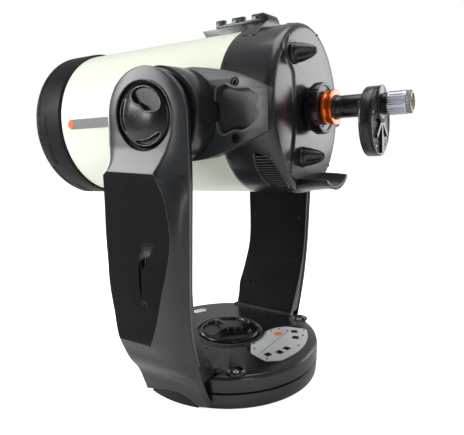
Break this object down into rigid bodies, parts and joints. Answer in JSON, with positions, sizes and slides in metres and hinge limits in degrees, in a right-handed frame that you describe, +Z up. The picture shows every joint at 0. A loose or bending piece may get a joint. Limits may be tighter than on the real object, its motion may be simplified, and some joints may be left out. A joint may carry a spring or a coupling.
{
  "type": "schmidt cassegrain telescope",
  "caption": "Fork-mounted Schmidt-Cassegrain telescope with a motorised round base, two curved fork arms, a wide pale tube and a filter wheel with eyepiece.",
  "frame": {"origin": "centre of the base's underside, at the mouth of the central tripod bore", "axes": "+Z up along the azimuth axis, +X from the corrector end towards the eyepiece end, the altitude axis parallel to Y"},
  "size_m": [0.7838, 0.566, 0.7451],
  "materials": {
    "casting": "dark grey paint with a fine texture",
    "cover_black": "near-black satin plastic",
    "tube_paint": "pale green-white gloss paint",
    "knob_black": "black moulded plastic, satin",
    "panel_grey": "light grey printed panel, lettering left out",
    "socket_black": "black plastic",
    "lamp": "orange lens",
    "steel": "machined steel",
    "black_steel": "blackened steel",
    "brass": "machined brass",
    "motor": "grey motor and gearbox",
    "board": "green circuit board",
    "corrector_glass": "coated optical glass",
    "mirror": "aluminised glass",
    "carrier": "machined aluminium",
    "baffle": "matt black inside and out",
    "rail": "grey-green paint",
    "shoe": "dark anodised",
    "nameplate": "grey plate, lettering left out",
    "orange_anodised": "orange anodised",
    "black_anodised": "black anodised",
    "satin": "satin aluminium",
    "feet": "black rubber"
  },
  "bodies": {
    "base": {"lower_base": "casting", "base_feet": "feet", "azimuth_spindle": "steel", "azimuth_bearing": "steel", "azimuth_worm_wheel": "brass"},
    "fork": {"fork_base": "casting", "base_top_cover": "casting", "control_panel": "panel_grey", "panel_sockets": "socket_black", "status_lamp": "lamp", "left_arm_frame": "casting", "left_arm_cover": "cover_black", "right_arm_frame": "casting", "right_arm_cover": "cover_black", "altitude_bearings": "steel", "hand_control_holder": "socket_black", "right_arm_cap": "cover_black", "fork_screws": "black_steel", "altitude_motor": "motor", "azimuth_motor": "motor", "control_board": "board"},
    "azimuth_clutch": {"azimuth_clutch_knob": "knob_black"},
    "azimuth_worm_shaft": {"azimuth_worm": "steel"},
    "altitude_clutch": {"altitude_clutch_knob": "knob_black"},
    "altitude_worm_shaft": {"altitude_worm": "steel"},
    "optical_tube": {"left_hub": "casting", "right_hub": "casting", "altitude_worm_wheel": "brass", "left_bracket": "casting", "right_bracket": "casting", "bracket_bolts": "black_steel", "tube_shell": "tube_paint", "front_ring": "casting", "corrector_plate": "corrector_glass", "corrector_retainer": "socket_black", "secondary_cell": "socket_black", "secondary_mirror": "mirror", "front_screws": "black_steel", "rear_cell": "casting", "rear_handle": "cover_black", "vent_grilles": "socket_black", "baffle_tube": "baffle", "finder_bracket": "cover_black", "finder_rail": "rail", "finder_shoe": "shoe", "tube_nameplate": "nameplate", "back_locking_ring": "black_anodised", "back_colour_ring": "orange_anodised", "visual_back": "black_anodised", "filter_wheel_body": "black_anodised", "filter_wheel_cover": "black_anodised", "eyepiece_holder": "satin"},
    "moving_mirror": {"mirror_carrier": "carrier", "primary_mirror": "mirror"},
    "focus": {"focus_knob": "knob_black"},
    "mirror_clutch_a": {"mirror_clutch_upper": "knob_black"},
    "mirror_clutch_b": {"mirror_clutch_lower": "knob_black"},
    "carousel": {"filter_carousel": "black_anodised"},
    "eyepiece_unit": {"eyepiece": "satin"},
    "thumbscrew": {"eyepiece_thumbscrew": "steel"}
  },
  "joints": [
    {"name": "azimuth", "type": "hinge", "parent": "base", "child": "fork", "pos_m": [0, 0, 0.054], "axis": [0, 0, 1], "continuous": true},
    {"name": "azimuth_clutch_turn", "type": "hinge", "parent": "base", "child": "azimuth_clutch", "pos_m": [0, 0, 0.076], "axis": [0, 0, 1], "range_deg": [0, 180]},
    {"name": "azimuth_worm_spin", "type": "hinge", "parent": "fork", "child": "azimuth_worm_shaft", "pos_m": [-0.0682, 0, 0.054], "axis": [0, 1, 0], "continuous": true},
    {"name": "altitude", "type": "hinge", "parent": "fork", "child": "optical_tube", "pos_m": [0, 0, 0.556], "axis": [0, 1, 0], "range_deg": [-20, 94]},
    {"name": "altitude_clutch_turn", "type": "hinge", "parent": "optical_tube", "child": "altitude_clutch", "pos_m": [0, -0.262, 0.556], "axis": [0, 1, 0], "range_deg": [0, 180]},
    {"name": "altitude_worm_spin", "type": "hinge", "parent": "fork", "child": "altitude_worm_shaft", "pos_m": [0, -0.253, 0.4878], "axis": [1, 0, 0], "range_deg": [-16920, 3600]},
    {"name": "focus_turn", "type": "hinge", "parent": "optical_tube", "child": "focus", "pos_m": [0.19969, 0.078, 0.56716], "axis": [0.9984, 0, 0.0558], "range_deg": [-2880, 2880]},
    {"name": "mirror_travel", "type": "slide", "parent": "optical_tube", "child": "moving_mirror", "axis": [0.9984, 0, 0.0558], "range_m": [-0.006, 0.006]},
    {"name": "upper_mirror_clutch_turn", "type": "hinge", "parent": "optical_tube", "child": "mirror_clutch_a", "pos_m": [0.19433, -0.068, 0.66301], "axis": [0.9984, 0, 0.0558], "range_deg": [0, 720]},
    {"name": "lower_mirror_clutch_turn", "type": "hinge", "parent": "optical_tube", "child": "mirror_clutch_b", "pos_m": [0.20454, -0.043, 0.4803], "axis": [0.9984, 0, 0.0558], "range_deg": [0, 720]},
    {"name": "filter_select", "type": "hinge", "parent": "optical_tube", "child": "carousel", "pos_m": [0.30919, 0, 0.54324], "axis": [0.9984, 0, 0.0558], "continuous": true},
    {"name": "eyepiece_slide", "type": "slide", "parent": "optical_tube", "child": "eyepiece_unit", "axis": [0.9984, 0, 0.0558], "range_m": [0, 0.03]},
    {"name": "thumbscrew_turn", "type": "hinge", "parent": "optical_tube", "child": "thumbscrew", "pos_m": [0.32649, 0.02, 0.57425], "axis": [0, 1, 0], "range_deg": [0, 720]}
  ],
  "couplings": [
    {"joint": "azimuth_worm_spin", "follows": "azimuth", "ratio": 180},
    {"joint": "altitude_worm_spin", "follows": "altitude", "ratio": -180},
    {"joint": "focus_turn", "follows": "mirror_travel", "rad_per_m": 8377.5}
  ]
}
